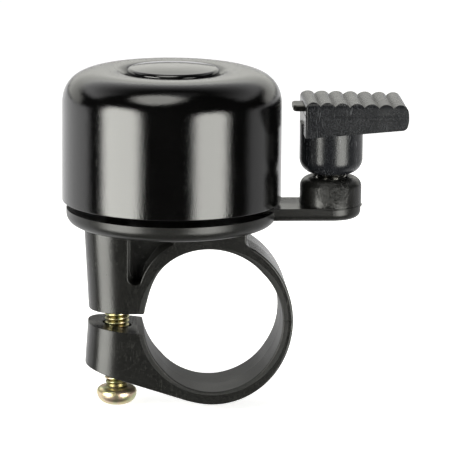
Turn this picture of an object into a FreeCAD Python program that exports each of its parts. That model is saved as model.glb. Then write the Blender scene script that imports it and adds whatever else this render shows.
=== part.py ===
"""Bicycle bell: a steel gong on a moulded clamp, rung by a spring-mounted thumb lever.

Frame: origin on the axis of the handlebar, midway along the clamp. +Y runs along the
handlebar, +X points from the bell towards the striker lever, +Z points up. Millimetres.
"""
import FreeCAD
import Part
import math
import os

V = FreeCAD.Vector

# ---- driving dimensions ----------------------------------------------------------------
# Handlebar clamp
BAR_R = 11.1            # radius of a 22.2 mm handlebar, and of the bore where it grips
CLAMP_HALF = 6.5        # half the clamp's width along the bar
BAND_OUT_X = 12.75      # half-axes of the band's slightly oval outside
BAND_OUT_Z = 13.6
EDGE = 0.3              # rounding of the moulding's outer edges
POCKET_DEPTH = 2.6      # blind pockets in both faces of the web
POCKET_X = (-13.65, -6.1)
POCKET_Z = (6.1, 15.2)   # the plate closes it at the top
POCKET_DRAFT = 0.4      # how far the pocket narrows by its floor
POCKET_ROUND = 0.15
FLEX_GAP = 0.02         # saw-thin gap at the line where the band flexes
WEB_END_X = 5.2         # right end of the web under the plate
WEB_END_Z = 12.6
PAST_LUGS_X = -24.0     # left of everything, for outlines that are trimmed later

# Clamp lugs and screw
SCREW_X = -15.15
LUG_ROUND_X = -12.6     # where the lugs' round ends start
LUG_POWER = 2.5         # squareness of the round end, 2 is an ellipse
LUG_POINTS = 16
PAST_BAND_X = 25.0
UPPER_LUG_Z = 1.35      # underside of the upper lug
UPPER_LUG_R = (5.35, 4.45)   # lug radius at its top and at its foot
LOWER_LUG_R = (4.55, 5.55)
LOWER_LUG_TOP_Z = -0.75
LOWER_LUG_FOOT_Z = -7.1      # where the jaw's underside starts its slope
JAW_SLOPE_END = (-4.6, -12.8)
LUG_HOLE_R = 2.35
THREAD_R = 1.95         # M4 thread over its crests
THREAD_PITCH = 0.7
THREAD_DEPTH = 0.35
NECK_R = 1.7            # plain length under the head
HEAD_R = 3.2
HEAD_TOP_Z = -12.0
HEAD_END_Z = -14.8
SCREW_TIP_Z = 18.0
THREAD_START_Z = -5.2
NUT_FLATS = 7.0
NUT_Z = (13.6, 16.8)
NUT_HOLE_R = 2.0

# Base plate, post and gong
BELL_X = -6.5
PLATE_Z = (15.0, 17.0)
PLATE_R = 16.8
LIP_Z = 17.5
LIP_WALL = 0.6
POST_R = 4.5
POST_TOP_Z = 34.6
SEAT_RING_HOLE_R = 2.2
SEAT_Z = (35.2, 36.2)   # underside and top of the gong's sunken middle
GONG_R = 17.5
GONG_WALL = 1.0
GONG_RIM_Z = 18.74
SHOULDER_Z = 33.89      # where the straight side turns into the shoulder
SHOULDER_IN = 6.73      # how far the shoulder comes in, and how far it rises
SHOULDER_UP = 5.76
SHOULDER_POWER = 2.5    # squareness of the shoulder, 2 is an ellipse
RECESS_R = 7.55
RECESS_LIP_Z = 39.1
CAP_R = 7.3
CAP_TOP_Z = 40.4
CAP_X = BELL_X + 0.15   # the cap leans on one side of its recess
BELL_SCREW_R = 1.75
BELL_SCREW_PITCH = 1.3
WASHER_Z = (36.2, 36.9)
WASHER_R = 5.0
WASHER_HOLE_R = 2.1
GONG_HOLE_R = 2.3

# Arm and boss that carry the lever
BOSS_X = 18.95
BOSS_R = 4.95
BOSS_Z = (18.0, 22.45)
GATE_R = 0.95           # mark left where the moulding was gated
ARM_Z = (15.85, 18.0)
ARM_R = 4.85
SPRING_SEAT_R = 2.9
SPRING_SEAT_Z = (18.9, 27.5)
PEG_R = 1.7
PEG_ENDS_Z = (21.3, 24.4)

# Coil spring
WIRE_R = 0.35
COIL_R = 2.15
COIL_PITCH = 0.8

# Lever
LEVER_X = (14.35, 30.6)
LEVER_HALF = 6.3
CUP_R = 5.05
CUP_BOTTOM_Z = 23.1
CUP_ROUND = 2.45
CUP_ROOT_Z = 31.2       # top of the cup, inside the paddle
PADDLE_TOP_Z = 35.4
LEVER_UNDER_Z = (29.6, 30.85)
RIDGE_TOP_Z = (35.35, 34.95)
RIDGE_COUNT = 7
RIDGE_RISE = 0.62
SIDE_ROUND = 1.1

# Steel striker let into the lever's inner end
STRIKER_X = (12.7, 18.4)
STRIKER_HALF = 2.35
STRIKER_Z = (33.3, 34.26)


# ---- helpers ---------------------------------------------------------------------------
def trace(start, *steps):
    """Closed wire in the XZ plane. A step is a point, (via, end) for an arc, or
    ("curve", points) for a smooth curve through all the points."""
    here = V(start[0], 0, start[1])
    first = here
    edges = []
    for step in steps:
        if step[0] == "curve":
            points = [here] + [V(x, 0, z) for x, z in step[1]]
            curve = Part.BSplineCurve()
            curve.interpolate(Points=points)
            edges.append(curve.toShape())
            here = points[-1]
        elif isinstance(step[0], tuple):
            via, end = [V(x, 0, z) for x, z in step]
            edges.append(Part.Arc(here, via, end).toShape())
            here = end
        else:
            end = V(step[0], 0, step[1])
            edges.append(Part.makeLine(here, end))
            here = end
    if here.distanceToPoint(first) > 1e-6:
        edges.append(Part.makeLine(here, first))
    return Part.Wire(edges)


def turned(wire, axis_x):
    """Solid of revolution: the wire's x is the radius about the upright axis at axis_x."""
    face = Part.Face(wire)
    face.translate(V(axis_x, 0, 0))
    return face.revolve(V(axis_x, 0, 0), V(0, 0, 1), 360)


def extruded(wire, y_low, y_high):
    face = Part.Face(wire)
    face.translate(V(0, y_low, 0))
    return face.extrude(V(0, y_high - y_low, 0))


def cylinder(radius, z_low, z_high, x=0.0, y=0.0):
    return Part.makeCylinder(radius, z_high - z_low, V(x, y, z_low), V(0, 0, 1))


def box(x_range, y_range, z_range):
    low = V(x_range[0], y_range[0], z_range[0])
    return Part.makeBox(x_range[1] - x_range[0], y_range[1] - y_range[0],
                        z_range[1] - z_range[0], low)


def polar(degrees, radius):
    """Point in the XZ plane about the handlebar's axis."""
    angle = math.radians(degrees)
    return (radius * math.cos(angle), radius * math.sin(angle))


def hexagon(across_flats, z_low, z_high, x):
    radius = across_flats / math.sqrt(3)
    corners = [V(x + radius * math.cos(math.radians(60 * i)),
                 radius * math.sin(math.radians(60 * i)), z_low) for i in range(7)]
    return Part.Face(Part.makePolygon(corners)).extrude(V(0, 0, z_high - z_low))


def cross_recess(x, z_face, depth, span, down):
    """Tapered cross-shaped driver recess, cut from z_face into the head."""
    sign = -1 if down else 1
    z_low, z_high = sorted((z_face + sign * 0.2, z_face - sign * depth))
    arms = [box((x - a, x + a), (-b, b), (z_low, z_high))
            for a, b in ((span, span * 0.24), (span * 0.24, span))]
    cone = Part.makeCone(span, span * 0.3, depth + 0.2, V(x, 0, z_face + sign * 0.2),
                         V(0, 0, -sign))
    return arms[0].fuse(arms[1]).common(cone)


def threaded_outline(radius, depth, pitch, z_from, z_to):
    """Points up a ridged shank from z_from to z_to, one ridge for each turn of thread."""
    points = [(radius - depth, z_from)]
    turns = int((z_to - z_from) / pitch)
    for i in range(turns):
        z = z_from + i * pitch
        points += [(radius, z + pitch * 0.42), (radius, z + pitch * 0.58),
                   (radius - depth, z + pitch)]
    return points


def save(name, shape):
    solid = shape.removeSplitter()
    if solid.ShapeType != "Solid":
        solid = solid.Solids[0] if len(solid.Solids) == 1 else solid
    print(name, "valid", solid.isValid(), "solids", len(solid.Solids),
          "volume %.1f" % solid.Volume)
    solid.exportStep("parts/%s.step" % name)


# ---- gong and what holds it ------------------------------------------------------------
def shoulder(radius, inward, rise, steps=9):
    """Superellipse from the straight side up to the crown."""
    points = []
    for i in range(1, steps + 1):
        t = math.pi / 2 * i / steps
        points.append((radius - inward + inward * abs(math.cos(t)) ** (2 / SHOULDER_POWER),
                       SHOULDER_Z + rise * math.sin(t) ** (2 / SHOULDER_POWER)))
    points[-1] = (radius - inward, SHOULDER_Z + rise)
    return points


def gong_dome():
    """Pressed steel shell with a sunken middle that sits on the post."""
    outer = shoulder(GONG_R, SHOULDER_IN, SHOULDER_UP)
    inner = shoulder(GONG_R - GONG_WALL, SHOULDER_IN - GONG_WALL, SHOULDER_UP - GONG_WALL)
    inner_up = [(GONG_R - GONG_WALL, SHOULDER_Z)] + inner
    crown_z = outer[-1][1]
    floor_low, floor_high = SEAT_Z
    wire = trace(
        (GONG_R - 0.15, GONG_RIM_Z), ((GONG_R - 0.04, GONG_RIM_Z + 0.04), (GONG_R, GONG_RIM_Z + 0.15)),
        (GONG_R, SHOULDER_Z), ("curve", outer),
        ((9.7, crown_z + 0.12), (RECESS_R + 0.75, RECESS_LIP_Z + 0.35)),
        ((RECESS_R + 0.2, RECESS_LIP_Z), (RECESS_R, RECESS_LIP_Z - 0.6)),
        (RECESS_R, floor_high + 0.4), ((RECESS_R - 0.12, floor_high + 0.12), (RECESS_R - 0.4, floor_high)),
        (GONG_HOLE_R, floor_high), (GONG_HOLE_R, floor_low), (RECESS_R + 0.2, floor_low),
        ((RECESS_R + 0.77, floor_low + 0.23), (RECESS_R + 1.0, floor_low + 0.8)),
        (RECESS_R + 1.0, RECESS_LIP_Z - 1.5),
        ((9.4, crown_z - 1.05), inner[-1]), ("curve", inner_up[-2::-1]),
        (GONG_R - GONG_WALL, GONG_RIM_Z))
    return turned(wire, BELL_X)


def dome_seat_ring():
    """Soft ring between post and gong, so that the gong can ring freely."""
    return cylinder(POST_R - 0.1, POST_TOP_Z, SEAT_Z[0], BELL_X).cut(
        cylinder(SEAT_RING_HOLE_R, POST_TOP_Z - 1, SEAT_Z[0] + 1, BELL_X))


def dome_washer():
    ring = cylinder(WASHER_R, WASHER_Z[0], WASHER_Z[1], BELL_X).cut(
        cylinder(WASHER_HOLE_R, WASHER_Z[0] - 1, WASHER_Z[1] + 1, BELL_X))
    rim = [e for e in ring.Edges
           if abs(e.BoundBox.ZMin - WASHER_Z[1]) < 1e-6 and e.BoundBox.XLength > WASHER_R]
    return ring.makeFillet(0.2, rim)


def dome_screw():
    """Pan-head tapping screw down the post."""
    head_z = WASHER_Z[1]
    shank = threaded_outline(BELL_SCREW_R, 0.4, BELL_SCREW_PITCH, head_z - 11.0, head_z - 1.2)
    wire = trace((0, head_z - 12.6), *shank, (BELL_SCREW_R - 0.1, head_z), (3.4, head_z),
                 ((3.25, head_z + 1.2), (2.2, head_z + 2.1)), (0, head_z + 2.3))
    return turned(wire, BELL_X).cut(cross_recess(BELL_X, head_z + 2.3, 1.4, 1.9, False))


def dome_cap():
    """Gloss cap pushed into the recess over the screw."""
    edge_z = CAP_TOP_Z - 0.42
    skirt_z = SEAT_Z[1] + 0.5
    wire = trace((0, CAP_TOP_Z), ((CAP_R * 0.5, CAP_TOP_Z - 0.09), (CAP_R - 0.55, edge_z)),
                 ((CAP_R - 0.12, edge_z - 0.2), (CAP_R, edge_z - 0.6)), (CAP_R, skirt_z),
                 (CAP_R - 1.0, skirt_z), (CAP_R - 1.0, CAP_TOP_Z - 1.1), (0, CAP_TOP_Z - 0.85))
    return turned(wire, CAP_X)


# ---- clamp moulding --------------------------------------------------------------------
def lug_plan(radius_high, z_high, radius_low, z_low):
    """Tapered upright block: a squarish round end about the clamp screw, then the band's width."""
    half = CLAMP_HALF + 0.03
    wires = []
    for radius, z in ((radius_high, z_high), (radius_low, z_low)):
        reach = LUG_ROUND_X - SCREW_X + radius
        end = []
        for i in range(LUG_POINTS + 1):
            t = math.pi * i / LUG_POINTS
            across = half * abs(math.cos(t)) ** (2 / LUG_POWER)
            along = reach * abs(math.sin(t)) ** (2 / LUG_POWER)
            end.append(V(LUG_ROUND_X - along, math.copysign(across, math.cos(t)), z))
        end[-1] = V(LUG_ROUND_X, -half, z)
        curve = Part.BSplineCurve()
        curve.interpolate(Points=end)
        path = [end[-1], V(PAST_BAND_X, -half, z), V(PAST_BAND_X, half, z), end[0]]
        lines = [Part.makeLine(p, q) for p, q in zip(path, path[1:])]
        wires.append(Part.Wire([curve.toShape()] + lines))
    return Part.makeLoft(wires, True, True)


# The free bore is slightly oval: it grips at the sides and bulges above and below.
GRIP_TOP = (45, 162)
GRIP_LOW = (-135, -35)
BULGE_TOP = [(68, 11.45), (92, 11.8), (118, 12.05), (138, 11.85), (151, 11.4)]
BULGE_LOW = [(-115, 11.38), (-90, 11.5), (-62, 11.35)]
JAW_CORNER = -169.2     # where the bore meets the top of the lower lug


def bore_above():
    """Steps along the bore from the lug, over the top, to the flex line."""
    bulge = [polar(a, r) for a, r in reversed(BULGE_TOP)] + [polar(GRIP_TOP[0], BAR_R)]
    lug = 180 - math.degrees(math.asin((UPPER_LUG_Z + 0.5) / BAR_R))
    return (polar(lug, BAR_R), (polar((lug + GRIP_TOP[1]) / 2, BAR_R), polar(GRIP_TOP[1], BAR_R)),
            ("curve", bulge), (polar(GRIP_TOP[0] / 2, BAR_R), polar(0, BAR_R)))


def bore_below():
    """Steps along the bore from the flex line, round underneath, to the jaw's lug."""
    bulge = [polar(a, r) for a, r in reversed(BULGE_LOW)] + [polar(GRIP_LOW[0], BAR_R)]
    return ((polar(GRIP_LOW[1] / 2, BAR_R), polar(GRIP_LOW[1], BAR_R)), ("curve", bulge),
            (polar(-152, BAR_R), polar(JAW_CORNER, BAR_R)))


def outside(degrees):
    """Point on the band's oval outside."""
    angle = math.radians(degrees)
    return (BAND_OUT_X * math.cos(angle), BAND_OUT_Z * math.sin(angle))


def band_block(wire):
    """The band's outline at full width, with the edges of both end faces rounded."""
    block = extruded(wire, -CLAMP_HALF, CLAMP_HALF)
    edges = []
    for edge in block.Edges:
        bounds = edge.BoundBox
        on_end = bounds.YLength < 1e-4
        hidden = bounds.XMin < PAST_LUGS_X + 2 or bounds.ZMin > PLATE_Z[0]
        if on_end and not hidden and edge.Length > 2.0:
            edges.append(edge)
    return block.makeFillet(EDGE, edges)


def upper_clamp():
    """Upper lug, web under the plate and the upper half of the band."""
    start, first_arc, bulge, last_arc = bore_above()
    z_low = UPPER_LUG_Z
    wire = trace(
        (PAST_LUGS_X, z_low), (start[0] - 0.5, z_low), ((start[0] - 0.12, z_low + 0.12), start),
        first_arc, bulge, last_arc,
        (BAR_R, FLEX_GAP), (BAND_OUT_X, FLEX_GAP),
        ("curve", [outside(a) for a in (16, 32, 48, 64)]),
        (WEB_END_X, WEB_END_Z), (WEB_END_X, PLATE_Z[0] + 0.5), (PAST_LUGS_X, PLATE_Z[0] + 0.5))
    return band_block(wire).common(lug_plan(UPPER_LUG_R[0], PLATE_Z[0] + 0.5, UPPER_LUG_R[1], -0.5))


def pocket_outline(inset, y):
    """The web pocket's outline at one depth, drawn in by the mould's draft."""
    left, right = POCKET_X[0] + inset, POCKET_X[1] - inset
    low, high = POCKET_Z
    foot = (left + 2.0, low + 0.3 + inset)
    wire = trace((left, high), (left, low + 1.2), ((left + 0.85, low + inset), foot),
                 ((-9.7 - inset / 2, 10.0 + inset), (-6.5 - inset, 12.6 + inset / 2)),
                 ((right, 13.2 + inset / 2), (right, high)))
    wire.translate(V(0, y, 0))
    return wire


def web_pocket(side):
    """Blind pocket between the lug and the band, cut from one side."""
    floor_y = side * (CLAMP_HALF - POCKET_DEPTH)
    mouth_y = side * (CLAMP_HALF + 1)
    wires = [pocket_outline(POCKET_DRAFT, floor_y), pocket_outline(-0.15, mouth_y)]
    return Part.makeLoft(wires, True, True)


def round_pocket_rims(clamp):
    """Rounds the edges where the pockets open in the web's two faces."""
    rims = []
    for edge in clamp.Edges:
        bounds = edge.BoundBox
        outside = bounds.YMin > CLAMP_HALF - 2.0 or bounds.YMax < 2.0 - CLAMP_HALF
        beside = bounds.XMin > POCKET_X[0] - 0.3 and bounds.XMax < POCKET_X[1] + 0.3
        within = bounds.ZMin > POCKET_Z[0] - 0.3 and bounds.ZMax < POCKET_Z[1] + 0.1
        if outside and beside and within and bounds.ZLength > 0.1:
            rims.append(edge)
    return clamp.makeFillet(POCKET_ROUND, rims)


def base_plate():
    """Round tray under the gong, with a thin upstanding lip."""
    z_low, z_high = PLATE_Z
    lip_r = PLATE_R - LIP_WALL
    wire = trace((0, z_low), (PLATE_R - 1.5, z_low), ((PLATE_R - 0.48, z_low + 0.5), (PLATE_R, z_low + 1.7)),
                 (PLATE_R, LIP_Z), (lip_r, LIP_Z), (lip_r - 0.2, z_high), (0, z_high))
    return turned(wire, BELL_X)


def post():
    z_foot = PLATE_Z[1]
    wire = trace((0, PLATE_Z[0] + 0.2), (POST_R + 1.2, PLATE_Z[0] + 0.2), (POST_R + 1.2, z_foot),
                 ((POST_R + 0.35, z_foot + 0.35), (POST_R, z_foot + 1.2)), (POST_R, POST_TOP_Z),
                 (0, POST_TOP_Z))
    return turned(wire, BELL_X)


def arm():
    """Flat arm under the gong's rim, out to the boss, with a rounded end and underside."""
    z_low, z_high = ARM_Z
    corners = [V(BOSS_X, ARM_R, z_low), V(BELL_X + 11, ARM_R, z_low),
               V(BELL_X + 11, -ARM_R, z_low), V(BOSS_X, -ARM_R, z_low)]
    lines = [Part.makeLine(p, q) for p, q in zip(corners, corners[1:])]
    end = Part.Arc(corners[-1], V(BOSS_X + ARM_R, 0, z_low), corners[0]).toShape()
    bar = Part.Face(Part.Wire(lines + [end])).extrude(V(0, 0, z_high - z_low))
    lower = [e for e in bar.Edges if e.BoundBox.ZMax < z_low + 0.1 and e.BoundBox.XMax > BELL_X + 12]
    return bar.makeFillet(1.2, lower)


def boss():
    """Boss with a spring seat round a central peg. Flash line at its foot, gate mark on its side."""
    z_low, z_high = BOSS_Z
    wire = trace((0, ARM_Z[0] + 0.5), (BOSS_R - 0.3, ARM_Z[0] + 0.5), (BOSS_R - 0.3, z_low - 0.25),
                 (BOSS_R + 0.12, z_low - 0.2), (BOSS_R + 0.12, z_low - 0.05), (BOSS_R, z_low),
                 (BOSS_R, z_high - 1.6), ((BOSS_R - 0.47, z_high - 0.47), (BOSS_R - 1.6, z_high)),
                 (SPRING_SEAT_R + 0.25, z_high), (SPRING_SEAT_R, z_high - 0.25),
                 (SPRING_SEAT_R, SPRING_SEAT_Z[0]), (PEG_R, SPRING_SEAT_Z[0]),
                 (PEG_R, PEG_ENDS_Z[0] - 0.4), (PEG_R - 0.4, PEG_ENDS_Z[0]), (0, PEG_ENDS_Z[0]))
    gate = Part.makeCylinder(GATE_R, 0.8, V(BOSS_X + 0.35, -BOSS_R - 0.15, 20.6), V(0, 1, 0))
    return turned(wire, BOSS_X).fuse(gate)


def bracket():
    """One moulding: tray, post, arm, boss, upper lug and the upper half of the band."""
    clamp = upper_clamp().cut([web_pocket(1), web_pocket(-1)])
    clamp = round_pocket_rims(clamp)
    body = clamp.fuse([base_plate(), post(), arm(), boss()])
    cuts = [cylinder(LUG_HOLE_R - 0.2, 0, 14, SCREW_X),
            hexagon(NUT_FLATS + 0.12, NUT_Z[0], PLATE_Z[1] + 1, SCREW_X),
            cylinder(BELL_SCREW_R + 0.05, 19.0, POST_TOP_Z + 1, BELL_X)]
    for tool in cuts:
        body = body.cut(tool)
    return body


def clamp_jaw():
    """Lower half of the band and the lower lug, which close onto the bar."""
    first_arc, bulge, last_arc = bore_below()
    wire = trace(
        (BAR_R, -FLEX_GAP), first_arc, bulge, last_arc,
        (PAST_LUGS_X + 1.5, LOWER_LUG_TOP_Z),
        (PAST_LUGS_X + 1.5, LOWER_LUG_FOOT_Z), JAW_SLOPE_END,
        ("curve", [outside(a) for a in (-100, -90, -75, -60, -45, -30, -15)] + [(BAND_OUT_X, -FLEX_GAP)]))
    block = band_block(wire).common(lug_plan(LOWER_LUG_R[0], 0.5, LOWER_LUG_R[1], -14.5))
    return block.cut(cylinder(LUG_HOLE_R, -16, 1, SCREW_X))


# ---- clamp screw and nut ---------------------------------------------------------------
def clamp_screw():
    """M4 pan-head machine screw, head down, with a plain neck."""
    thread = threaded_outline(THREAD_R, THREAD_DEPTH, THREAD_PITCH, THREAD_START_Z, SCREW_TIP_Z - 0.5)
    rise = HEAD_TOP_Z - HEAD_END_Z
    wire = trace((0, HEAD_END_Z), (1.5, HEAD_END_Z + 0.06),
                 ((HEAD_R * 0.86, HEAD_END_Z + rise * 0.25), (HEAD_R, HEAD_END_Z + rise * 0.62)),
                 ((HEAD_R - 0.12, HEAD_TOP_Z - 0.35), (HEAD_R - 0.6, HEAD_TOP_Z)),
                 (NECK_R + 0.15, HEAD_TOP_Z), (NECK_R, HEAD_TOP_Z + 0.2), (NECK_R, THREAD_START_Z - 0.2),
                 *thread, (THREAD_R - 0.7, SCREW_TIP_Z), (0, SCREW_TIP_Z))
    return turned(wire, SCREW_X).cut(cross_recess(SCREW_X, HEAD_END_Z, 1.7, 2.0, True))


def clamp_nut():
    """Hexagon nut held from turning by its pocket in the tray."""
    z_low, z_high = NUT_Z
    corner = NUT_FLATS / math.sqrt(3)
    chamfered = turned(trace((0, z_low), (NUT_FLATS / 2, z_low), (corner, z_low + 0.35),
                             (corner, z_high - 0.35), (NUT_FLATS / 2, z_high), (0, z_high)), SCREW_X)
    return hexagon(NUT_FLATS, z_low, z_high, SCREW_X).common(chamfered).cut(
        cylinder(NUT_HOLE_R, z_low - 1, z_high + 1, SCREW_X))


# ---- lever -----------------------------------------------------------------------------
def striker_lever():
    """Thumb lever: ridged paddle over a round cup that houses the spring."""
    x_low, x_high = LEVER_X
    pitch = (x_high - x_low) / RIDGE_COUNT
    ridges = []
    for i in range(RIDGE_COUNT):
        middle = x_low + pitch * (i + 0.5)
        top = RIDGE_TOP_Z[0] + (RIDGE_TOP_Z[1] - RIDGE_TOP_Z[0]) * i / (RIDGE_COUNT - 1)
        last = i == RIDGE_COUNT - 1
        drop = 0.9 if last else RIDGE_RISE
        ridges.append(((middle, top), (middle + pitch / 2, top - drop)))
    wire = trace((x_low, LEVER_UNDER_Z[0]), (x_low, RIDGE_TOP_Z[0] - 0.8), *ridges,
                 ((x_high + 0.12, 33.2), (x_high, 31.75)),
                 ((x_high - 0.3, 31.12), (x_high - 1.0, LEVER_UNDER_Z[1])))
    bar = box((x_low - 1, x_high + 1), (-LEVER_HALF, LEVER_HALF), (LEVER_UNDER_Z[0] - 1, PADDLE_TOP_Z))
    upper = [e for e in bar.Edges if e.BoundBox.XLength > 15 and e.BoundBox.ZMin > PADDLE_TOP_Z - 0.1]
    paddle = extruded(wire, -LEVER_HALF, LEVER_HALF).common(bar.makeFillet(SIDE_ROUND, upper))
    corners = [e for e in paddle.Edges if e.BoundBox.ZLength > 3 and e.BoundBox.XLength < 0.5
               and e.BoundBox.YLength < 0.01]
    paddle = paddle.makeFillet(0.35, corners)
    parting = box((x_low - 0.05, x_high + 0.1), (-LEVER_HALF - 0.05, LEVER_HALF + 0.05), (32.95, 33.05))
    seat = SPRING_SEAT_R
    cup = turned(trace((seat + 0.35, CUP_BOTTOM_Z + 0.01),
                       ((CUP_R - 0.62, CUP_BOTTOM_Z + 0.72), (CUP_R, CUP_BOTTOM_Z + CUP_ROUND)),
                       (CUP_R, CUP_ROOT_Z), (0, CUP_ROOT_Z), (0, PEG_ENDS_Z[1]), (PEG_R - 0.4, PEG_ENDS_Z[1]),
                       (PEG_R, PEG_ENDS_Z[1] + 0.4), (PEG_R, SPRING_SEAT_Z[1]),
                       (seat, SPRING_SEAT_Z[1]), (seat, CUP_BOTTOM_Z + 0.3)), BOSS_X)
    return paddle.fuse([cup, parting]).cut(striker_blade())


def striker_blade():
    """Flat steel tongue whose end strikes the gong."""
    low = V(STRIKER_X[0], -STRIKER_HALF, STRIKER_Z[0])
    blade = Part.makeBox(STRIKER_X[1] - STRIKER_X[0], 2 * STRIKER_HALF, STRIKER_Z[1] - STRIKER_Z[0], low)
    corners = [e for e in blade.Edges if e.BoundBox.ZLength > 0.5 and e.BoundBox.XMax < STRIKER_X[0] + 0.01]
    blade = blade.makeFillet(0.7, corners)
    nose = [e for e in blade.Edges if e.BoundBox.ZLength < 1e-4 and e.BoundBox.XMax < STRIKER_X[0] + 0.75]
    return blade.makeChamfer(0.15, nose)


def striker_spring():
    """Close-wound coil spring on the two pegs."""
    z_low = SPRING_SEAT_Z[0] + WIRE_R + 0.02
    height = SPRING_SEAT_Z[1] - SPRING_SEAT_Z[0] - 2 * WIRE_R - 0.04
    path = Part.Wire(Part.makeHelix(COIL_PITCH, height, COIL_R).Edges)
    ring = Part.Wire(Part.makeCircle(WIRE_R, V(COIL_R, 0, 0), V(0, 1, 0)))
    coil = path.makePipeShell([ring], True, True)
    coil.translate(V(BOSS_X, 0, z_low))
    return coil


PIECES = (gong_dome, dome_cap, dome_screw, dome_washer, dome_seat_ring, bracket, clamp_jaw,
          clamp_screw, clamp_nut, striker_lever, striker_blade, striker_spring)

os.makedirs("parts", exist_ok=True)
for piece in PIECES:
    save(piece.__name__, piece())
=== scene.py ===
"""Bicycle bell: a gloss enamel gong on a moulded nylon handlebar clamp, rung by a thumb lever on a spring."""

import math

import bmesh
import bpy
from mathutils import Matrix, Vector


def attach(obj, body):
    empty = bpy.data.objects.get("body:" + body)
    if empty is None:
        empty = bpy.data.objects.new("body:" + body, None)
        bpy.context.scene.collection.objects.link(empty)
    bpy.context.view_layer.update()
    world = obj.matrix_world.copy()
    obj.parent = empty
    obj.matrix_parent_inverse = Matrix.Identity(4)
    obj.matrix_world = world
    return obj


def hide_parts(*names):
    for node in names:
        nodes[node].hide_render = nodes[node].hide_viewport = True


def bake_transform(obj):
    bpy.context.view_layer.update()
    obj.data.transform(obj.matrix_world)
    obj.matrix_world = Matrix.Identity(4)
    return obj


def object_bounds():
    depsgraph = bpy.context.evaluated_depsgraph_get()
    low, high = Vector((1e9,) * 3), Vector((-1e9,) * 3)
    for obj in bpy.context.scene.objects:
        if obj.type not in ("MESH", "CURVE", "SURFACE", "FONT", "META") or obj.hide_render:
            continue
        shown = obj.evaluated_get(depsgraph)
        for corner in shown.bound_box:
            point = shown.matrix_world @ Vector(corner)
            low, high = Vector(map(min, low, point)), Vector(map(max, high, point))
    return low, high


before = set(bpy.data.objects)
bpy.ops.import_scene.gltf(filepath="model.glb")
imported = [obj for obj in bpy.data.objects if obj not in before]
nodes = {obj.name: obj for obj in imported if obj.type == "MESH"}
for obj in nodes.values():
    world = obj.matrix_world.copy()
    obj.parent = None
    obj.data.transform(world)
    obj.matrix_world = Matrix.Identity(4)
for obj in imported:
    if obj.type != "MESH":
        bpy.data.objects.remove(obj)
cad_box = [list(corner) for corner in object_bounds()]
MM = 0.001


# ---- Clamp bracket and jaw ---------------------------------------------------------------
# One injection moulding in black glass-filled nylon, shown here open at its saw-thin flex line.
# The mould is polished but worn, so the skin is satin, with soft flow marks, a parting line
# round the middle of the band and pale rub marks where bells knock together in their bag.
CLAMP_DRAFT = 0.03          # slope of each half of the band away from the parting line
PARTING_HALF_WIDTH = 0.16 * MM
PARTING_HEIGHT = 0.03 * MM
GATE_AT = Vector((19.3, -5.1, 20.6)) * MM
GATE_R = 0.95 * MM
TEAR_HEIGHT = 0.5 * MM
BORE_SKIN_R = 12.0 * MM
BORE_DULLNESS = 0.22
TRAY_FOOT_Z = 15.0 * MM
TRAY_TOP_Z = 18.0 * MM
TRAY_DULLNESS = 0.06
CLAMP_WEAR = 0.22
NYLON_IOR = 1.53
NYLON_SPECULAR = 0.3        # less shine than polished plastic has
SPECKLE = 0.12              # how much the high spots of the grain are paler
RUB_DULLNESS = 0.15
GRAIN_HEIGHT = 0.016 * MM
FLOW_HEIGHT = 0.05 * MM
EDGE_BREAK = 0.12 * MM


def linear(hex_colour):
    """An sRGB hex colour as linear RGBA."""
    channels = [int(hex_colour[i:i + 2], 16) / 255 for i in (1, 3, 5)]
    return [c / 12.92 if c <= 0.04045 else ((c + 0.055) / 1.055) ** 2.4 for c in channels] + [1.0]


def node(tree, kind, inputs, **settings):
    """Adds a shader node. An input is a plain value, or (node, output) to link from."""
    made = tree.nodes.new("ShaderNode" + kind)
    for name, value in settings.items():
        setattr(made, name, value)
    for name, value in inputs.items():
        if isinstance(value, tuple) and isinstance(value[0], bpy.types.Node):
            tree.links.new(value[0].outputs[value[1]], made.inputs[name])
        else:
            made.inputs[name].default_value = value
    return made


def material(name, build):
    """A material whose build function takes the tree and the object's own coordinates."""
    made = bpy.data.materials.new(name)
    made.use_nodes = True
    tree = made.node_tree
    tree.nodes.clear()
    coords = (node(tree, "TexCoord", {}), "Object")
    shader = build(tree, coords)
    node(tree, "OutputMaterial", {"Surface": (shader, "BSDF")})
    return made


def give(node_name, finish):
    """Puts a finish on a carried-over part."""
    for slot in nodes[node_name].material_slots:
        slot.material = finish


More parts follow.
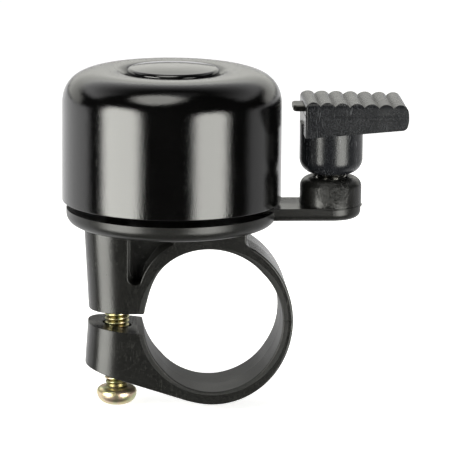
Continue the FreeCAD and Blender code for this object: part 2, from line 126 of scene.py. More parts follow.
def nylon(tree, coords, skin, rubbed, wear, height, dull):
    """Satin moulded nylon. Wear, 0 to 1, is how much it is rubbed, height a bump under its grain and dull
    what is added to its roughness."""
    # spark-eroded mould grain is 0.1 mm; drawn at 0.2 mm so that it shows
    grain = node(tree, "TexNoise", {"Vector": coords, "Scale": 1 / (0.2 * MM), "Detail": 2.0})
    # flow marks are soft streaks about 6 mm long
    flow = node(tree, "TexNoise", {"Vector": coords, "Scale": 1 / (6.0 * MM), "Detail": 1.0})
    # rub marks: 0.15 mm scratches about 2 mm long, in patches
    stretched = node(tree, "Mapping", {"Vector": coords, "Rotation": (0.3, 0.5, 0.2),
                                       "Scale": (1 / (0.15 * MM), 1 / (0.4 * MM), 1 / (2.0 * MM))})
    scratch = node(tree, "TexNoise", {"Vector": (stretched, "Vector"), "Scale": 1.0, "Detail": 2.0})
    rub = node(tree, "MapRange", {"Value": (scratch, "Fac"), "From Min": 0.6, "From Max": 0.74})
    worn_area = node(tree, "TexNoise", {"Vector": coords, "Scale": 1 / (4.0 * MM), "Detail": 4.0})
    patch = node(tree, "MapRange", {"Value": (worn_area, "Fac"), "From Min": 0.5, "From Max": 0.62})
    where = node(tree, "Math", {0: (patch, "Result"), 1: wear}, operation="MULTIPLY")
    mark = node(tree, "Math", {0: (rub, "Result"), 1: (where, 0)}, operation="MULTIPLY")
    speck = node(tree, "MapRange", {"Value": (grain, "Fac"), "From Min": 0.35, "From Max": 0.75,
                                    "To Min": 0.0, "To Max": SPECKLE})
    pale = node(tree, "Math", {0: (mark, 0), 1: (speck, "Result")}, operation="ADD")
    colour = node(tree, "Mix", {0: (pale, 0), 6: linear(skin), 7: linear(rubbed)}, data_type="RGBA")
    gloss = node(tree, "MapRange", {"Value": (flow, "Fac"), "From Min": 0.3, "From Max": 0.7,
                                    "To Min": 0.22, "To Max": 0.28})
    duller = node(tree, "Math", {0: (gloss, "Result"), 1: dull}, operation="ADD")
    worn = node(tree, "Math", {0: (mark, 0), 1: RUB_DULLNESS, 2: (duller, 0)}, operation="MULTIPLY_ADD")
    pitted = node(tree, "Math", {0: (grain, "Fac"), 1: GRAIN_HEIGHT, 2: height}, operation="MULTIPLY_ADD")
    waved = node(tree, "Math", {0: (flow, "Fac"), 1: FLOW_HEIGHT, 2: (pitted, 0)}, operation="MULTIPLY_ADD")
    # moulded edges are broken by about 0.1 mm, which catches the light as a fine line
    broken = node(tree, "Bevel", {"Radius": EDGE_BREAK}, samples=6)
    bump = node(tree, "Bump", {"Height": (waved, 0), "Distance": 1.0, "Strength": 1.0,
                               "Normal": (broken, "Normal")})
    return node(tree, "BsdfPrincipled", {"Base Color": (colour, 2), "Roughness": (worn, 0),
                                         "IOR": NYLON_IOR, "Specular IOR Level": NYLON_SPECULAR,
                                         "Normal": (bump, "Normal")})


def clamp_nylon(tree, coords):
    across = node(tree, "SeparateXYZ", {"Vector": coords})
    distance = node(tree, "Math", {0: (across, "Y")}, operation="ABSOLUTE")
    draft = node(tree, "Math", {0: (distance, 0), 1: -CLAMP_DRAFT}, operation="MULTIPLY")
    seam = node(tree, "MapRange", {"Value": (distance, 0), "From Min": 0.0, "From Max": PARTING_HALF_WIDTH,
                                   "To Min": PARTING_HEIGHT, "To Max": 0.0}, interpolation_type="SMOOTHSTEP")
    height = node(tree, "Math", {0: (draft, 0), 1: (seam, "Result")}, operation="ADD")
    # the boss is torn where the gate was twisted off it, in crumbs about 0.4 mm across
    from_gate = node(tree, "VectorMath", {0: coords, 1: GATE_AT}, operation="DISTANCE")
    torn = node(tree, "MapRange", {"Value": (from_gate, "Value"), "From Min": GATE_R * 3.2,
                                   "From Max": GATE_R * 0.6, "To Min": 0.0, "To Max": TEAR_HEIGHT})
    tear = node(tree, "TexNoise", {"Vector": coords, "Scale": 1 / (0.4 * MM), "Detail": 3.0})
    relief = node(tree, "Math", {0: (tear, "Fac"), 1: (torn, "Result"), 2: (height, 0)},
                  operation="MULTIPLY_ADD")
    # the mould is left unpolished round the bore and on the tray
    from_axis = node(tree, "VectorMath", {0: coords, 1: (1.0, 0.0, 1.0)}, operation="MULTIPLY")
    radius = node(tree, "VectorMath", {0: (from_axis, "Vector")}, operation="LENGTH")
    bore = node(tree, "Math", {0: (radius, "Value"), 1: BORE_SKIN_R}, operation="LESS_THAN")
    above = node(tree, "Math", {0: (across, "Z"), 1: TRAY_FOOT_Z}, operation="GREATER_THAN")
    below = node(tree, "Math", {0: (across, "Z"), 1: TRAY_TOP_Z}, operation="LESS_THAN")
    tray = node(tree, "Math", {0: (above, 0), 1: (below, 0)}, operation="MULTIPLY")
    in_bore = node(tree, "Math", {0: (bore, 0), 1: BORE_DULLNESS}, operation="MULTIPLY")
    dull = node(tree, "Math", {0: (tray, 0), 1: TRAY_DULLNESS, 2: (in_bore, 0)}, operation="MULTIPLY_ADD")
    return nylon(tree, coords, "#050505", "#50504C", CLAMP_WEAR, (relief, 0), (dull, 0))


satin_black_nylon = material("satin_black_nylon", clamp_nylon)
give("bracket", satin_black_nylon)
give("clamp_jaw", satin_black_nylon)


# ---- Nut, washer and tapping screw ---------------------------------------------------------
# Small turned and stamped steel hardware, barrel-plated in bright zinc. It is all hidden once
# the bell is together: the nut sits in its pocket, the screw and washer hold the gong.
def zinc(tree, coords):
    # barrel plating leaves soft clouds of duller and brighter grey, about 1.5 mm across
    cloud = node(tree, "TexNoise", {"Vector": coords, "Scale": 1 / (1.5 * MM), "Detail": 4.0})
    colour = node(tree, "Mix", {0: (cloud, "Fac"), 6: linear("#B9BDC0"), 7: linear("#D3D5D2")},
                  data_type="RGBA")
    rough = node(tree, "MapRange", {"Value": (cloud, "Fac"), "To Min": 0.2, "To Max": 0.42})
    bump = node(tree, "Bump", {"Height": (cloud, "Fac"), "Distance": 0.01 * MM, "Strength": 1.0})
    return node(tree, "BsdfPrincipled", {"Base Color": (colour, 2), "Metallic": 1.0,
                                         "Roughness": (rough, "Result"), "Normal": (bump, "Normal")})


bright_zinc_plate = material("bright_zinc_plate", zinc)
for hardware in ("clamp_nut", "dome_washer", "dome_screw"):
    give(hardware, bright_zinc_plate)


# ---- Clamp screw -----------------------------------------------------------------------------
# M4 x 30 pan-head machine screw, cold headed with a cross recess and a rolled thread, plated in
# zinc and dipped in yellow chromate, which leaves a pale gold skin with pink and green tints.
SCREW_X = -15.15
SCREW_STEPS = 48
THREAD_CREST = 1.95
THREAD_DEEP = 0.35
THREAD_PITCH = 0.7
THREAD_STEEPNESS = 2.44     # 2 is a thread with sharp crests, more gives them flats
THREAD_RINGS = 500
THREAD_FROM_Z = -11.5
THREAD_TO_Z = 17.5
TIP_R = 1.25
TIP_UP = 0.5
HEAD_END_Z = -14.8
HEAD_TOP_Z = -12.0
HEAD_R = 3.2
HEAD_WIDEST_UP = 1.736      # from the end of the head to its widest part
NECK_R = 1.7
RECESS_SPAN = 2.0
RECESS_DEEP = 1.7
RECESS_ARM = 0.24           # half the width of a slot, as a part of the span
RECESS_TAPER = (0.45, 0.448)
RECESS_CREASE = 32.0


def mesh_piece(name, points, faces, crease=35.0):
    """A piece from points in millimetres, smooth except where it turns by more than crease degrees."""
    shape = bmesh.new()
    made = [shape.verts.new(Vector(p) * MM) for p in points]
    for face in faces:
        shape.faces.new([made[i] for i in face])
    bmesh.ops.recalc_face_normals(shape, faces=shape.faces)
    data = bpy.data.meshes.new(name)
    shape.to_mesh(data)
    shape.free()
    data.shade_smooth()
    data.set_sharp_from_angle(angle=math.radians(crease))
    piece = bpy.data.objects.new(name, data)
    bpy.context.scene.collection.objects.link(piece)
    return piece


def turned(name, profile, axis_x, steps, radius_at=None):
    """Turns a closed (radius, z) profile about an upright axis. radius_at(r, z, angle) may cut a thread."""
    points = []
    rings = []
    for r, z in profile:
        if r < 1e-6:
            rings.append([len(points)] * steps)
            points.append((axis_x, 0, z))
            continue
        rings.append(list(range(len(points), len(points) + steps)))
        for i in range(steps):
            angle = 2 * math.pi * i / steps
            radius = radius_at(r, z, angle) if radius_at else r
            points.append((axis_x + radius * math.cos(angle), radius * math.sin(angle), z))
    faces = []
    for a, b in zip(rings, rings[1:] + rings[:1]):
        for i in range(steps):
            j = (i + 1) % steps
            corners = list(dict.fromkeys((a[i], a[j], b[j], b[i])))
            if len(corners) > 2:
                faces.append(corners)
    return mesh_piece(name, points, faces)


def arc(start, via, end, steps):
    """Points after start on the circle through three (x, z) points."""
    (ax, ay), (bx, by), (cx, cy) = start, via, end
    d = 2 * (ax * (by - cy) + bx * (cy - ay) + cx * (ay - by))
    a2, b2, c2 = ax * ax + ay * ay, bx * bx + by * by, cx * cx + cy * cy
    ox = (a2 * (by - cy) + b2 * (cy - ay) + c2 * (ay - by)) / d
    oy = (a2 * (cx - bx) + b2 * (ax - cx) + c2 * (bx - ax)) / d
    radius = math.hypot(ax - ox, ay - oy)
    first = math.atan2(ay - oy, ax - ox)
    last = math.atan2(cy - oy, cx - ox)
    turn = math.remainder(last - first, 2 * math.pi)
    angles = [first + turn * i / steps for i in range(1, steps + 1)]
    return [(ox + radius * math.cos(angle), oy + radius * math.sin(angle)) for angle in angles]


def thread_radius(r, z, angle):
    """The screw's radius at a height and an angle, with a right-hand thread that runs in over one turn."""
    if not THREAD_FROM_Z < z < THREAD_TO_Z:
        return r
    phase = (z / THREAD_PITCH - angle / (2 * math.pi)) % 1.0
    ridge = min(1.0, THREAD_STEEPNESS * (0.5 - abs(phase - 0.5)))
    run_in = min(1.0, (z - THREAD_FROM_Z) / THREAD_PITCH, (THREAD_TO_Z - z) / THREAD_PITCH)
    return NECK_R + (THREAD_CREST - THREAD_DEEP * (1 - ridge) - NECK_R) * run_in


def clamp_screw():
    """A turned blank with a threaded shank, and the recess punched in its head."""
    head = [(0, HEAD_END_Z), (0.75, HEAD_END_Z + 0.02), (1.5, HEAD_END_Z + 0.06)]
    widest = (HEAD_R, HEAD_END_Z + HEAD_WIDEST_UP)
    head += arc(head[-1], (HEAD_R * 0.86, HEAD_END_Z + 0.7), widest, 10)
    head += arc(widest, (HEAD_R - 0.12, HEAD_TOP_Z - 0.35), (HEAD_R - 0.6, HEAD_TOP_Z), 6)
    head += [(NECK_R + 0.15, HEAD_TOP_Z), (NECK_R, HEAD_TOP_Z + 0.2)]
    threaded = THREAD_TO_Z - THREAD_FROM_Z
    thread = [(NECK_R, THREAD_FROM_Z + threaded * i / THREAD_RINGS) for i in range(THREAD_RINGS + 1)]
    tip = [(TIP_R, THREAD_TO_Z + TIP_UP), (0, THREAD_TO_Z + TIP_UP)]
    blank = turned("clamp_screw_blank", head + thread + tip, SCREW_X, SCREW_STEPS, thread_radius)
    # the punch that forms the cross recess: a plus sign that tapers as it goes in
    quarter = [(1, RECESS_ARM), (RECESS_ARM, RECESS_ARM), (RECESS_ARM, 1)]
    plus = []
    for turn in range(4):
        plus += quarter
        quarter = [(-y, x) for x, y in quarter]
    corners = len(plus)
    narrow_x = RECESS_SPAN * RECESS_TAPER[0]
    narrow_y = RECESS_SPAN * RECESS_TAPER[1]
    low = [(SCREW_X + RECESS_SPAN * x, RECESS_SPAN * y, HEAD_END_Z - 0.2) for x, y in plus]
    high = [(SCREW_X + narrow_x * x, narrow_y * y, HEAD_END_Z + RECESS_DEEP) for x, y in plus]
    sides = [(i, (i + 1) % corners, corners + (i + 1) % corners, corners + i) for i in range(corners)]
    ends = [tuple(range(corners)), tuple(range(corners, 2 * corners))]
    punch = mesh_piece("recess_punch", low + high, sides + ends)
    cut = blank.modifiers.new("recess", "BOOLEAN")
    cut.object = punch
    cut.operation = "DIFFERENCE"
    cut.solver = "EXACT"
    done = bpy.data.meshes.new_from_object(blank.evaluated_get(bpy.context.evaluated_depsgraph_get()))
    piece = bpy.data.objects.new("clamp_screw_threaded", done)
    bpy.context.scene.collection.objects.link(piece)
    bpy.data.objects.remove(blank)
    bpy.data.objects.remove(punch)
    done.shade_smooth()
    done.set_sharp_from_angle(angle=math.radians(RECESS_CREASE))
    return piece


def yellow_zinc(tree, coords):
    # chromate film drifts through its tints over about 2 mm
    drift = node(tree, "TexNoise", {"Vector": coords, "Scale": 1 / (2.0 * MM), "Detail": 2.0})
    tint = node(tree, "TexNoise", {"Vector": coords, "Scale": 1 / (1.1 * MM), "Detail": 1.0, "W": 3.0},
                noise_dimensions="4D")
    pink = node(tree, "MapRange", {"Value": (drift, "Fac"), "From Min": 0.42, "From Max": 0.62})
    green = node(tree, "MapRange", {"Value": (tint, "Fac"), "From Min": 0.48, "From Max": 0.68})
    gold = node(tree, "Mix", {0: (pink, "Result"), 6: linear("#CBBF92"), 7: linear("#CDB6A2")},
                data_type="RGBA")
    plated = node(tree, "Mix", {0: (green, "Result"), 6: (gold, 2), 7: linear("#B5BC92")},
                  data_type="RGBA")
    # painted shade: the thread is darkened towards its root, between its crests
    axis = node(tree, "VectorMath", {0: coords, 1: (SCREW_X * MM, 0.0, 0.0)}, operation="SUBTRACT")
    flat = node(tree, "VectorMath", {0: (axis, "Vector"), 1: (1.0, 1.0, 0.0)}, operation="MULTIPLY")
    radius = node(tree, "VectorMath", {0: (flat, "Vector")}, operation="LENGTH")
    root_shade = node(tree, "MapRange", {"Value": (radius, "Value"), "From Min": THREAD_CREST * MM,
                                  "From Max": NECK_R * MM, "To Min": 0.0, "To Max": 0.9})
    head = node(tree, "SeparateXYZ", {"Vector": coords})
    on_thread = node(tree, "Math", {0: (head, "Z"), 1: HEAD_TOP_Z * MM}, operation="GREATER_THAN")
    shaded_root = node(tree, "Math", {0: (root_shade, "Result"), 1: (on_thread, 0)}, operation="MULTIPLY")
    colour = node(tree, "Mix", {0: (shaded_root, 0), 6: (plated, 2), 7: linear("#5A5330")}, data_type="RGBA")
    rough = node(tree, "MapRange", {"Value": (drift, "Fac"), "To Min": 0.26, "To Max": 0.42})
    bump = node(tree, "Bump", {"Height": (tint, "Fac"), "Distance": 0.03 * MM, "Strength": 1.0})
    return node(tree, "BsdfPrincipled", {"Base Color": (colour, 2), "Metallic": 1.0,
                                         "Roughness": (rough, "Result"), "Normal": (bump, "Normal")})


screw = clamp_screw()
screw.data.materials.clear()
screw.data.materials.append(material("yellow_chromate_zinc", yellow_zinc))
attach(screw, "clamp_screw")
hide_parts("clamp_screw")


# ---- Seat ring -----------------------------------------------------------------------------
# A punched ring of soft black rubber between the post and the gong. It lets the gong ring and
# is hidden inside it; the skin is matt and slightly dusty.
def rubber(tree, coords):
    dust = node(tree, "TexNoise", {"Vector": coords, "Scale": 1 / (0.8 * MM), "Detail": 4.0})
    colour = node(tree, "Mix", {0: (dust, "Fac"), 6: linear("#161616"), 7: linear("#2C2B2A")},
                  data_type="RGBA")
    rough = node(tree, "MapRange", {"Value": (dust, "Fac"), "To Min": 0.7, "To Max": 0.95})
    bump = node(tree, "Bump", {"Height": (dust, "Fac"), "Distance": 0.03 * MM, "Strength": 1.0})
    return node(tree, "BsdfPrincipled", {"Base Color": (colour, 2), "Roughness": (rough, "Result"),
                                         "IOR": 1.52, "Normal": (bump, "Normal")})


give("dome_seat_ring", material("matt_black_rubber", rubber))


# ---- Gong ------------------------------------------------------------------------------------
# A cup deep-drawn from 1 mm steel, its middle pushed back down to sit on the post. It is dipped
# in black stoving enamel, which flows out to a deep gloss with a very fine orange peel.
BELL_X = -6.5
GONG_STEPS = 256
GONG_R = 17.5
GONG_WALL = 1.0
GONG_RIM_Z = 18.74
SHOULDER_Z = 33.89
SHOULDER_IN = 6.73
SHOULDER_UP = 5.76
SHOULDER_POWER = 2.5
RIM_ROUND = 0.15
RECESS_R = 7.55
SEAT_LOW_Z = 35.2
SEAT_TOP_Z = 36.2
SEAT_HOLE_R = 2.3


def shoulder_curve(radius, inward, rise, steps):
    """Superellipse from the straight side in to the crown."""
    curve = []
    for i in range(1, steps + 1):
        t = math.pi / 2 * i / steps
        curve.append((radius - inward + inward * abs(math.cos(t)) ** (2 / SHOULDER_POWER),
                      SHOULDER_Z + rise * math.sin(t) ** (2 / SHOULDER_POWER)))
    curve[-1] = (radius - inward, SHOULDER_Z + rise)
    return curve


def gong():
    """The pressing's profile: up its outside, over the crown into the sunken middle and back inside."""
    outer = [(GONG_R - RIM_ROUND, GONG_RIM_Z)]
    outer += arc(outer[0], (GONG_R - 0.044, GONG_RIM_Z + 0.044), (GONG_R, GONG_RIM_Z + RIM_ROUND), 6)
    outer += [(GONG_R, GONG_RIM_Z + (SHOULDER_Z - GONG_RIM_Z) * i / 12) for i in range(1, 13)]
    outer += shoulder_curve(GONG_R, SHOULDER_IN, SHOULDER_UP, 40)
    crown = outer[-1]
    outer += arc(crown, (9.75, crown[1] - 0.01), (9.2, crown[1] - 0.05), 4)
    outer += arc(outer[-1], (8.15, crown[1] - 0.45), (RECESS_R, crown[1] - 1.35), 12)
    outer += [(RECESS_R, SEAT_TOP_Z + 0.4)]
    outer += arc(outer[-1], (RECESS_R - 0.12, SEAT_TOP_Z + 0.12), (RECESS_R - 0.4, SEAT_TOP_Z), 5)
    inner = [(SEAT_HOLE_R, SEAT_TOP_Z), (SEAT_HOLE_R, SEAT_LOW_Z), (RECESS_R + 0.2, SEAT_LOW_Z)]
    inner += arc(inner[-1], (RECESS_R + 0.77, SEAT_LOW_Z + 0.23), (RECESS_R + 1.0, SEAT_LOW_Z + 0.8), 5)
    inner += [(RECESS_R + 1.0, crown[1] - 2.2)]
    under = shoulder_curve(GONG_R - GONG_WALL, SHOULDER_IN - GONG_WALL, SHOULDER_UP - GONG_WALL, 20)
    inner += arc(inner[-1], (9.0, crown[1] - 1.25), under[-1], 6)
    inner += under[-2::-1] + [(GONG_R - GONG_WALL, SHOULDER_Z), (GONG_R - GONG_WALL, GONG_RIM_Z)]
    return turned("gong_pressing", outer + inner, BELL_X, GONG_STEPS)


PEEL_HEIGHT = 0.006 * MM
FINE_HEIGHT = 0.02 * MM


def enamel(tree, coords):
    # orange peel is a 1.4 mm ripple; the fine grain over it is 0.05 mm in life, drawn at 0.2 mm to show
    peel = node(tree, "TexNoise", {"Vector": coords, "Scale": 1 / (1.4 * MM), "Detail": 1.0})
    grain = node(tree, "TexNoise", {"Vector": coords, "Scale": 1 / (0.2 * MM), "Detail": 1.0})
    height = node(tree, "Math", {0: (peel, "Fac"), 1: PEEL_HEIGHT}, operation="MULTIPLY")
    both = node(tree, "Math", {0: (grain, "Fac"), 1: FINE_HEIGHT, 2: (height, 0)}, operation="MULTIPLY_ADD")
    bump = node(tree, "Bump", {"Height": (both, 0), "Distance": 1.0, "Strength": 1.0})
    cloud = node(tree, "TexNoise", {"Vector": coords, "Scale": 1 / (6.0 * MM), "Detail": 3.0})
    colour = node(tree, "Mix", {0: (cloud, "Fac"), 6: linear("#020202"), 7: linear("#050505")},
                  data_type="RGBA")
    rough = node(tree, "MapRange", {"Value": (cloud, "Fac"), "From Min": 0.3, "From Max": 0.7,
                                    "To Min": 0.05, "To Max": 0.085})
    return node(tree, "BsdfPrincipled", {"Base Color": (colour, 2), "Roughness": (rough, "Result"),
                                         "IOR": 1.52, "Normal": (bump, "Normal")})


gloss_black_enamel = material("gloss_black_enamel", enamel)
gong_pressing = gong()
gong_pressing.data.materials.append(gloss_black_enamel)
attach(gong_pressing, "bracket")
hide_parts("gong_dome")


# ---- Cap -------------------------------------------------------------------------------------
# A shallow gloss ABS button pressed into the sunken middle over the screw. It is moulded against
# a polished face, so the top is nearly a mirror, with a slight sink in the middle.
CAP_X = BELL_X + 0.15
CAP_R = 7.3
CAP_TOP_Z = 40.4
CAP_CROWN = 0.42            # how far the top falls to its edge
CAP_WALL = 1.0


def cap():
    """The button's profile: over its crowned top, down its side and up inside."""
    edge_z = CAP_TOP_Z - CAP_CROWN
    skirt_z = SEAT_TOP_Z + 0.5
    profile = [(0, CAP_TOP_Z)]
    profile += arc(profile[0], (CAP_R * 0.5, CAP_TOP_Z - 0.09), (CAP_R - 0.55, edge_z), 16)
    profile += arc(profile[-1], (CAP_R - 0.14, edge_z - 0.2), (CAP_R, edge_z - 0.6), 8)
    profile += [(CAP_R, skirt_z), (CAP_R - CAP_WALL, skirt_z)]
    profile += [(CAP_R - CAP_WALL, CAP_TOP_Z - 1.1), (0, CAP_TOP_Z - 0.85)]
    return turned("cap_button", profile, CAP_X, 160)


def abs_gloss(tree, coords):
    sink = node(tree, "TexNoise", {"Vector": coords, "Scale": 1 / (3.5 * MM), "Detail": 1.0})
    haze = node(tree, "TexNoise", {"Vector": coords, "Scale": 1 / (0.4 * MM), "Detail": 3.0})
    bump = node(tree, "Bump", {"Height": (sink, "Fac"), "Distance": 0.02 * MM, "Strength": 1.0})
    colour = node(tree, "Mix", {0: (haze, "Fac"), 6: linear("#0A0A0A"), 7: linear("#111112")},
                  data_type="RGBA")
    rough = node(tree, "MapRange", {"Value": (haze, "Fac"), "To Min": 0.08, "To Max": 0.16})
    return node(tree, "BsdfPrincipled", {"Base Color": (colour, 2), "Roughness": (rough, "Result"),
                                         "IOR": 1.54, "Normal": (bump, "Normal")})


cap_button = cap()
cap_button.data.materials.append(material("gloss_black_abs", abs_gloss))
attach(cap_button, "bracket")
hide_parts("dome_cap")


# ---- Striker spring ----------------------------------------------------------------------------
# Close-wound from 0.7 mm music wire and pushed over a peg in the boss and another in the lever's
# cup. It is oiled bright steel with draw lines along the wire.
BOSS_X = 18.95
WIRE_R = 0.35
COIL_R = 2.15
COIL_PITCH = 0.8
COIL_FROM_Z = 19.27
COIL_TO_Z = 27.13
HINGE_Z = 22.8
COIL_STEPS = 36
WIRE_STEPS = 12


def coil(name, z_from, z_to):
    """A length of the coil between two heights, with closed ends."""
    first = (z_from - COIL_FROM_Z) / COIL_PITCH
    last = (z_to - COIL_FROM_Z) / COIL_PITCH
    count = round((last - first) * COIL_STEPS)
    points = []
    faces = []
    for i in range(count + 1):
        turns = first + (last - first) * i / count
        angle = 2 * math.pi * turns
        along = Vector((-math.sin(angle) * COIL_R, math.cos(angle) * COIL_R, COIL_PITCH / (2 * math.pi)))
        outward = Vector((math.cos(angle), math.sin(angle), 0))
        upward = outward.cross(along).normalized()
        middle = Vector((BOSS_X, 0, COIL_FROM_Z + turns * COIL_PITCH)) + outward * COIL_R
        for j in range(WIRE_STEPS):
            side = 2 * math.pi * j / WIRE_STEPS
            points.append(middle + (outward * math.cos(side) + upward * math.sin(side)) * WIRE_R)
    for i in range(count):
        for j in range(WIRE_STEPS):
            k = (j + 1) % WIRE_STEPS
            a, b = i * WIRE_STEPS, (i + 1) * WIRE_STEPS
            faces.append((a + j, a + k, b + k, b + j))
    faces.append(tuple(range(WIRE_STEPS)))
    faces.append(tuple(range(count * WIRE_STEPS, (count + 1) * WIRE_STEPS)))
    return mesh_piece(name, points, faces, 60.0)


def music_wire(tree, coords):
    streak = node(tree, "TexNoise", {"Vector": coords, "Scale": 1 / (0.3 * MM), "Detail": 3.0})
    colour = node(tree, "Mix", {0: (streak, "Fac"), 6: linear("#6A6966"), 7: linear("#A3A29E")},
                  data_type="RGBA")
    rough = node(tree, "MapRange", {"Value": (streak, "Fac"), "To Min": 0.14, "To Max": 0.34})
    bump = node(tree, "Bump", {"Height": (streak, "Fac"), "Distance": 0.008 * MM, "Strength": 1.0})
    return node(tree, "BsdfPrincipled", {"Base Color": (colour, 2), "Metallic": 1.0,
                                         "Roughness": (rough, "Result"), "Normal": (bump, "Normal")})


oiled_music_wire = material("oiled_music_wire", music_wire)
lower_coil = coil("spring_lower_coils", COIL_FROM_Z, HINGE_Z)
upper_coil = coil("spring_upper_coils", HINGE_Z, COIL_TO_Z)
for half in (lower_coil, upper_coil):
    half.data.materials.append(oiled_music_wire)
    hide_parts("striker_spring")
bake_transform(lower_coil)
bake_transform(upper_coil)


# ---- Lever ---------------------------------------------------------------------------------------
# The thumb paddle and its cup are one moulding in the same black nylon, from a harder-worn mould:
# a shade bluer than the clamp, with fine upright rub marks on the sides of the paddle.
RUB_HEIGHT = 0.01 * MM
LEVER_WEAR = 0.7


def lever_nylon(tree, coords):
    # rub marks on the paddle are 0.2 mm wide and run about 1.6 mm up and down
    upright = node(tree, "Mapping", {"Vector": coords,
                                     "Scale": (1 / (0.2 * MM), 1 / (1.0 * MM), 1 / (1.6 * MM))})
    rubs = node(tree, "TexNoise", {"Vector": (upright, "Vector"), "Scale": 1.0, "Detail": 2.0})
    height = node(tree, "Math", {0: (rubs, "Fac"), 1: RUB_HEIGHT}, operation="MULTIPLY")
    return nylon(tree, coords, "#06070A", "#5A5B5E", LEVER_WEAR, (height, 0), 0.0)


give("striker_lever", material("blue_black_nylon", lever_nylon))


# ---- Striker blade -------------------------------------------------------------------------------
# A strip of 1 mm steel, sheared to length, blackened in hot oxide salts and pushed into the lever
# before it cools. The sheared end is brighter where it meets the gong.
BLADE_END_X = 12.7


def black_oxide(tree, coords):
    place = node(tree, "SeparateXYZ", {"Vector": coords})
    end = node(tree, "MapRange", {"Value": (place, "X"), "From Min": (BLADE_END_X + 0.05) * MM,
                                  "From Max": (BLADE_END_X + 0.35) * MM, "To Min": 0.75, "To Max": 0.0})
    mottle = node(tree, "TexNoise", {"Vector": coords, "Scale": 1 / (0.5 * MM), "Detail": 4.0})
    salt = node(tree, "Mix", {0: (mottle, "Fac"), 6: linear("#343434"), 7: linear("#575552")},
                data_type="RGBA")
    wear = node(tree, "Math", {0: (end, "Result"), 1: (mottle, "Fac")}, operation="MULTIPLY")
    colour = node(tree, "Mix", {0: (wear, 0), 6: (salt, 2), 7: linear("#A8A6A0")}, data_type="RGBA")
    rough = node(tree, "MapRange", {"Value": (mottle, "Fac"), "To Min": 0.3, "To Max": 0.5})
    bump = node(tree, "Bump", {"Height": (mottle, "Fac"), "Distance": 0.02 * MM, "Strength": 1.0})
    return node(tree, "BsdfPrincipled", {"Base Color": (colour, 2), "Metallic": 0.9,
                                         "Roughness": (rough, "Result"), "Normal": (bump, "Normal")})


give("striker_blade", material("black_oxide_steel", black_oxide))


# ---- Studio ---------------------------------------------------------------------------------------
# The bell stands on a plain white board in front of a white backdrop. Two tall soft boxes stand
# left and right of the camera, an oval one hangs overhead and a long low one behind the bell.
FLOOR_HALF = 900.0
FLOOR_GLOW = 0.75           # a white board under studio light, so bright that it hardly takes a shadow
floor_z = cad_box[0][2] / MM
floor_corners = [(x * FLOOR_HALF, y * FLOOR_HALF, floor_z) for x, y in ((-1, -1), (1, -1), (1, 1), (-1, 1))]
floor = mesh_piece("floor", floor_corners, [(0, 1, 2, 3)])


def white_board(tree, coords):
    fibre = node(tree, "TexNoise", {"Vector": coords, "Scale": 1 / (2.0 * MM), "Detail": 3.0})
    colour = node(tree, "Mix", {0: (fibre, "Fac"), 6: linear("#EDEDEC"), 7: linear("#F4F4F3")},
                  data_type="RGBA")
    return node(tree, "BsdfPrincipled", {"Base Color": (colour, 2), "Roughness": 0.9,
                                         "Emission Color": linear("#FFFFFF"),
                                         "Emission Strength": FLOOR_GLOW})


floor.data.materials.append(material("plain_white_board", white_board))
floor.visible_glossy = False
floor.visible_shadow = False

# the backdrop glows behind the bell at table level and again in a band high up, with a dark gap
# between them. The rest of the room is dim, apart from a lit ceiling straight overhead.
LEFT_GLOW = 1.3
RIGHT_GLOW = 0.75
ROOM_GLOW = 0.008
CEILING_GLOW = 0.35
world = bpy.data.worlds.new("white_backdrop")
bpy.context.scene.world = world
world.use_nodes = True
sky = world.node_tree
sky.nodes.clear()
direction = node(sky, "TexCoord", {})
parts = node(sky, "SeparateXYZ", {"Vector": (direction, "Generated")})
behind = node(sky, "VectorMath", {0: (direction, "Generated"), 1: (0.12, 1.0, 0.0)}, operation="DOT_PRODUCT")
panel = node(sky, "MapRange", {"Value": (behind, "Value"), "From Min": 0.0, "From Max": 0.09},
             interpolation_type="SMOOTHSTEP")
top = node(sky, "MapRange", {"Value": (parts, "Z"), "From Min": 0.97, "From Max": 0.5},
           interpolation_type="SMOOTHSTEP")
table = node(sky, "MapRange", {"Value": (parts, "Z"), "From Min": 0.1, "From Max": 0.0},
             interpolation_type="SMOOTHSTEP")
above = node(sky, "MapRange", {"Value": (parts, "Z"), "From Min": 0.4, "From Max": 0.55},
             interpolation_type="SMOOTHSTEP")
heights = node(sky, "Math", {0: (above, "Result"), 1: (top, "Result")}, operation="MULTIPLY")
bands = node(sky, "Math", {0: (heights, 0), 1: (table, "Result")}, operation="ADD")
lit = node(sky, "Math", {0: (panel, "Result"), 1: (bands, 0)}, operation="MULTIPLY")
side = node(sky, "MapRange", {"Value": (parts, "X"), "From Min": -0.6, "From Max": 0.9,
                              "To Min": LEFT_GLOW, "To Max": RIGHT_GLOW})
ceiling = node(sky, "MapRange", {"Value": (parts, "Z"), "From Min": 0.955, "From Max": 1.0,
                                 "To Min": ROOM_GLOW, "To Max": CEILING_GLOW})
glow = node(sky, "Math", {0: (lit, 0), 1: (side, "Result"), 2: (ceiling, "Result")}, operation="MULTIPLY_ADD")
ray = node(sky, "LightPath", {})
seen = node(sky, "Mix", {0: (ray, "Is Camera Ray"), 2: (glow, 0), 3: 1.0}, data_type="FLOAT")
backdrop = node(sky, "Background", {"Color": linear("#FFFFFF"), "Strength": (seen, 0)})
node(sky, "OutputWorld", {"Surface": (backdrop, "Background")})


BOX_TINT = (1.0, 1.0, 0.94)


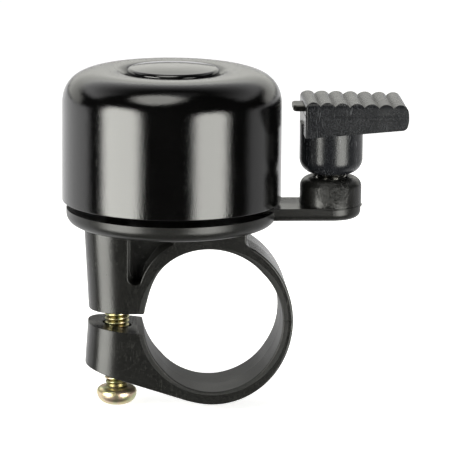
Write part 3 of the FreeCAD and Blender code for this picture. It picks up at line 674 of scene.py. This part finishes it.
def soft_box(name, shape, middle, target, size, radiance, corners, even_to):
    """A diffuser, even out to even_to (0 to 0.5) and fading to its edge. Corners is 2 for a round one."""
    light = bpy.data.lights.new(name, "AREA")
    light.shape = shape
    light.size = size[0]
    light.size_y = size[1]
    light.energy = math.pi * radiance * size[0] * size[1]
    light.color = BOX_TINT
    light.use_nodes = True
    tree = light.node_tree
    tree.nodes.clear()
    place = node(tree, "NewGeometry", {})
    centred = node(tree, "VectorMath", {0: (place, "Parametric"), 1: (0.5, 0.5, 0.0)}, operation="SUBTRACT")
    outward = node(tree, "VectorMath", {0: (centred, "Vector")}, operation="ABSOLUTE")
    axes = node(tree, "SeparateXYZ", {"Vector": (outward, "Vector")})
    across = node(tree, "Math", {0: (axes, "X"), 1: corners}, operation="POWER")
    along = node(tree, "Math", {0: (axes, "Y"), 1: corners}, operation="POWER")
    total = node(tree, "Math", {0: (across, 0), 1: (along, 0)}, operation="ADD")
    from_middle = node(tree, "Math", {0: (total, 0), 1: 1 / corners}, operation="POWER")
    fade = node(tree, "MapRange", {"Value": (from_middle, 0), "From Min": 0.5, "From Max": even_to},
                interpolation_type="SMOOTHSTEP")
    glow = node(tree, "Emission", {"Strength": (fade, "Result")})
    node(tree, "OutputLight", {"Surface": (glow, "Emission")})
    lamp = bpy.data.objects.new(name, light)
    lamp.location = middle
    lamp.rotation_euler = (Vector(target) - Vector(middle)).to_track_quat("-Z", "Y").to_euler()
    lamp.visible_camera = False
    bpy.context.scene.collection.objects.link(lamp)


BOX_DISTANCE = 0.35
BOX_FOOT_Z = -0.22
gong_axis = Vector((BELL_X * MM, 0, 0))
for name, azimuth, half_angle, top_z, radiance in (("left_soft_box", -56.6, 25.2, 0.188, 11.8),
                                                   ("right_soft_box", 38.2, 21.2, 0.132, 10.2)):
    turn = math.radians(azimuth)
    middle = gong_axis + Vector((math.sin(turn), -math.cos(turn), 0)) * BOX_DISTANCE
    middle.z = (BOX_FOOT_Z + top_z) / 2
    size = (2 * BOX_DISTANCE * math.tan(math.radians(half_angle)), top_z - BOX_FOOT_Z)
    soft_box(name, "RECTANGLE", middle, (gong_axis.x, gong_axis.y, middle.z), size, radiance, 3.2, 0.31)
overhead = (-0.119, -0.203, 0.487)
gong_top = (-0.0065, -0.012, 0.037)
soft_box("overhead_soft_box", "ELLIPSE", overhead, gong_top, (0.41, 0.48), 3.8, 2.0, 0.34)
PANEL_Z = 0.1225
soft_box("rear_panel", "RECTANGLE", (0, 0.22, PANEL_Z), (0, 0, PANEL_Z), (1.0, 0.125), 1.3, 12.0, 0.46)

bpy.context.scene.view_settings.view_transform = "Standard"


# ---- Camera ---------------------------------------------------------------------------------------
CAMERA_AZIMUTH = math.radians(-3.359)
CAMERA_ELEVATION = math.radians(11.879)
CAMERA_ROLL = math.radians(0.512)
CAMERA_DISTANCE = 0.5927
LOOK_AT = Vector((2.095, 0, 14.453)) * MM
back = Vector((math.sin(CAMERA_AZIMUTH) * math.cos(CAMERA_ELEVATION),
               -math.cos(CAMERA_AZIMUTH) * math.cos(CAMERA_ELEVATION), math.sin(CAMERA_ELEVATION)))
right = (-back).cross(Vector((0, 0, 1))).normalized()
up = right.cross(-back)
image_right = right * math.cos(CAMERA_ROLL) + up * math.sin(CAMERA_ROLL)
image_up = up * math.cos(CAMERA_ROLL) - right * math.sin(CAMERA_ROLL)
camera_data = bpy.data.cameras.new("camera")
camera_data.sensor_width = 36.0
camera_data.lens = 296.15
camera_data.clip_start = 0.01
camera = bpy.data.objects.new("camera", camera_data)
turn_to_view = Matrix((image_right, image_up, back)).transposed().to_4x4()
camera.matrix_world = Matrix.Translation(LOOK_AT + back * CAMERA_DISTANCE) @ turn_to_view
bpy.context.scene.collection.objects.link(camera)
bpy.context.scene.camera = camera
